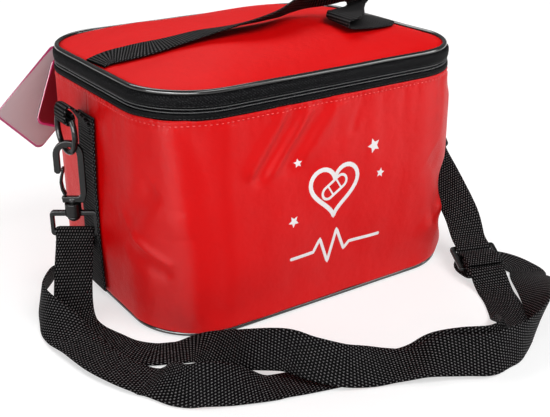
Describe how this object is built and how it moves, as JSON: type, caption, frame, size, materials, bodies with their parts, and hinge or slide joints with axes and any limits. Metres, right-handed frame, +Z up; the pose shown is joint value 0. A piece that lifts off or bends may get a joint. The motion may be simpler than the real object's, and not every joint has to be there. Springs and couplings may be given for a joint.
{
  "type": "toy doctor case",
  "caption": "Soft red zipped toy case with a domed padded lid, black piping, webbing carry handle and a clip-on shoulder strap laid in front.",
  "frame": {"origin": "middle of the flat bottom panel, on the floor", "axes": "+X along the case's length towards the right end, -Y out of the front, +Z up"},
  "size_m": [0.3343, 0.3253, 0.1948],
  "materials": {
    "red_nylon": "bright red coated nylon, satin",
    "black_webbing": "black woven webbing with a paler grey weave",
    "black_tape": "black twill tape",
    "black_piping": "black glossy welt piping",
    "black_plastic": "black moulded plastic, slightly glossy",
    "zip_coil": "black nylon zip coil",
    "zip_metal": "black enamelled metal",
    "foam": "off-white foam sheet",
    "lining": "grey lining cloth",
    "base_board": "plain stiffening board",
    "card_pale": "pale laminated card, left blank",
    "card_dark": "dark red glossy card, left blank",
    "tag_loop": "pale cord"
  },
  "bodies": {
    "case_body": {"front_wall": "red_nylon", "back_wall": "red_nylon", "bottom_panel": "red_nylon", "bottom_piping": "black_piping", "base_board": "base_board", "wall_foam": "foam", "inner_lining": "lining", "wall_top_tape": "black_tape", "zip_coil_lower": "zip_coil", "zip_coil_held": "zip_coil", "back_hinge_strip": "black_tape", "left_end_webbing": "black_webbing", "right_end_webbing": "black_webbing", "left_ring_tab": "black_webbing", "right_ring_tab": "black_webbing", "zip_stop_left": "zip_metal", "zip_stop_right": "zip_metal"},
    "lid": {"lid_panel": "red_nylon", "lid_piping": "black_piping", "lid_band": "black_tape", "zip_coil_upper": "zip_coil", "lid_foam": "foam", "lid_lining": "lining", "carry_handle": "black_webbing"},
    "left_ring": {"left_d_ring": "black_plastic"},
    "right_ring": {"right_d_ring": "black_plastic"},
    "strap": {"strap_webbing": "black_webbing", "tri_glide": "black_plastic", "left_swivel_frame": "black_plastic", "right_swivel_frame": "black_plastic"},
    "left_hook": {"left_snap_hook": "black_plastic"},
    "right_hook": {"right_snap_hook": "black_plastic"},
    "left_gate": {"left_hook_gate": "black_plastic"},
    "right_gate": {"right_hook_gate": "black_plastic"},
    "slider": {"zip_slider": "zip_metal"},
    "pull": {"zip_pull": "zip_metal", "tag_loop": "tag_loop"},
    "large_tag": {"hang_tag_large": "card_pale"},
    "small_tag": {"hang_tag_small": "card_dark"}
  },
  "joints": [
    {"name": "lid_hinge", "type": "hinge", "parent": "case_body", "child": "lid", "pos_m": [0, 0.095, 0.14785], "axis": [-1, 0, 0], "range_deg": [0, 110], "deforming": ["back_hinge_strip"]},
    {"name": "strap_swing", "type": "hinge", "parent": "case_body", "child": "strap", "pos_m": [0, 0.005, 0.118], "axis": [-1, 0, 0], "range_deg": [0, 50]},
    {"name": "left_ring_tilt", "type": "hinge", "parent": "case_body", "child": "left_ring", "pos_m": [-0.1372, 0.005, 0.1265], "axis": [0, 1, 0], "range_deg": [-2, 2]},
    {"name": "right_ring_tilt", "type": "hinge", "parent": "case_body", "child": "right_ring", "pos_m": [0.1372, 0.005, 0.1265], "axis": [0, 1, 0], "range_deg": [-2, 2]},
    {"name": "left_hook_swivel", "type": "hinge", "parent": "strap", "child": "left_hook", "pos_m": [-0.1372, 0.005, 0.104], "axis": [0, 0, 1], "range_deg": [0, 68]},
    {"name": "right_hook_swivel", "type": "hinge", "parent": "strap", "child": "right_hook", "pos_m": [0.1372, -0.00362, 0.10697], "axis": [0, 0.6157, 0.788], "range_deg": [-34, 34]},
    {"name": "left_gate_spring", "type": "hinge", "parent": "left_hook", "child": "left_gate", "pos_m": [-0.14051, 0.00723, 0.0734], "axis": [0.5592, 0.829, 0], "range_deg": [0, 14], "stiffness_Nm_per_rad": 0.004},
    {"name": "right_gate_spring", "type": "hinge", "parent": "right_hook", "child": "right_gate", "pos_m": [0.14119, -0.02246, 0.08285], "axis": [0, -0.788, 0.6157], "range_deg": [0, 14], "stiffness_Nm_per_rad": 0.004},
    {"name": "zip_slider_travel", "type": "hinge", "parent": "case_body", "child": "slider", "pos_m": [-0.075, 0.048, 0.14785], "axis": [0, 0, 1], "range_deg": [0, 40]},
    {"name": "zip_pull_swing", "type": "hinge", "parent": "slider", "child": "pull", "pos_m": [-0.09157, 0.09353, 0.14785], "axis": [0.9397, 0.342, 0], "range_deg": [0, 40]},
    {"name": "large_tag_swing", "type": "hinge", "parent": "pull", "child": "large_tag", "pos_m": [-0.0928, 0.0969, 0.13302], "axis": [0, -1, 0], "range_deg": [0, 45]},
    {"name": "small_tag_swing", "type": "hinge", "parent": "pull", "child": "small_tag", "pos_m": [-0.09236, 0.0957, 0.13278], "axis": [0, -1, 0], "range_deg": [0, 20]}
  ]
}
